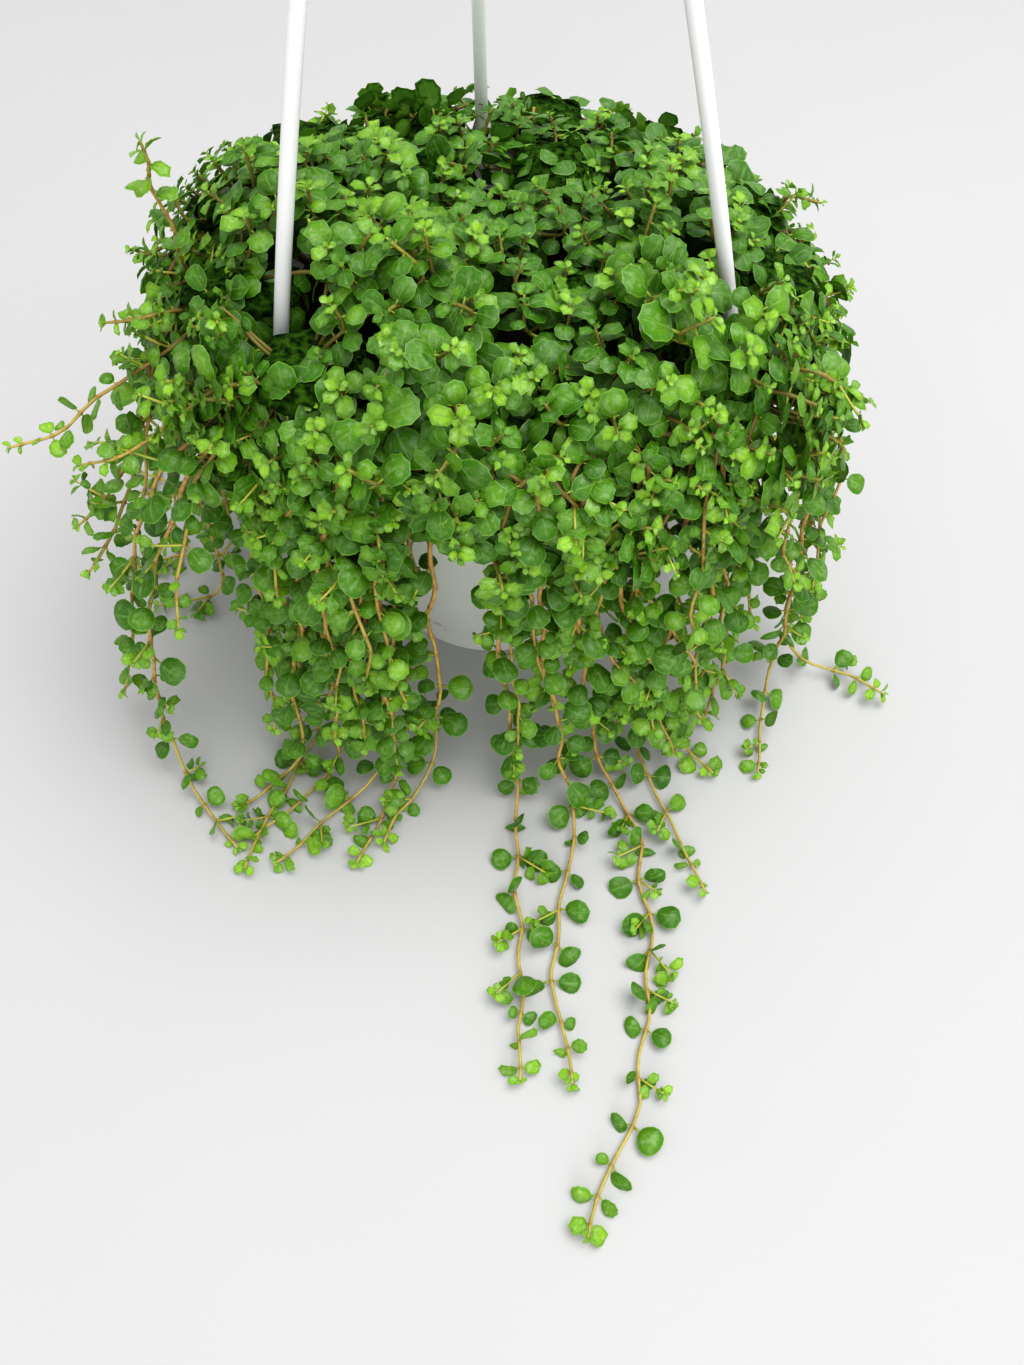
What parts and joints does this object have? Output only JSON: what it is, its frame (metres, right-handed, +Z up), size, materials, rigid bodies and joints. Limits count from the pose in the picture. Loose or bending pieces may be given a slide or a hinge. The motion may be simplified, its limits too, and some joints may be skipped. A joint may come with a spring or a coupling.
{
  "type": "potted creeping pilea in a hanging pot",
  "caption": "Small creeping foliage plant with round glossy leaves on thin trailing stems, in a tapered white hanging pot with a three-rod hanger, standing on its base",
  "frame": {"origin": "centre of the pot's base, on the surface that it stands on", "axes": "+Z up along the pot's axis; -Y towards the viewer of the picture, +X to the viewer's right"},
  "size_m": [0.3045, 0.3927, 0.4123],
  "materials": {
    "pot_plastic": "satin moulded plastic",
    "hanger_plastic": "smooth moulded plastic",
    "potting_soil": "moist peat potting mix",
    "foliage": "glossy leaves on tan stems"
  },
  "bodies": {
    "root": {"pot": "pot_plastic", "soil": "potting_soil", "hanger": "hanger_plastic", "tuft_middle": "foliage", "tuft_inner_1": "foliage", "tuft_inner_2": "foliage", "tuft_inner_3": "foliage", "tuft_inner_4": "foliage", "tuft_inner_5": "foliage", "tuft_inner_6": "foliage", "tuft_outer_1": "foliage", "tuft_outer_2": "foliage", "tuft_outer_3": "foliage", "tuft_outer_4": "foliage", "tuft_outer_5": "foliage", "tuft_outer_6": "foliage", "tuft_outer_7": "foliage", "tuft_outer_8": "foliage", "tuft_outer_9": "foliage", "tuft_outer_10": "foliage", "tuft_outer_11": "foliage", "tuft_outer_12": "foliage"}
  },
  "joints": []
}
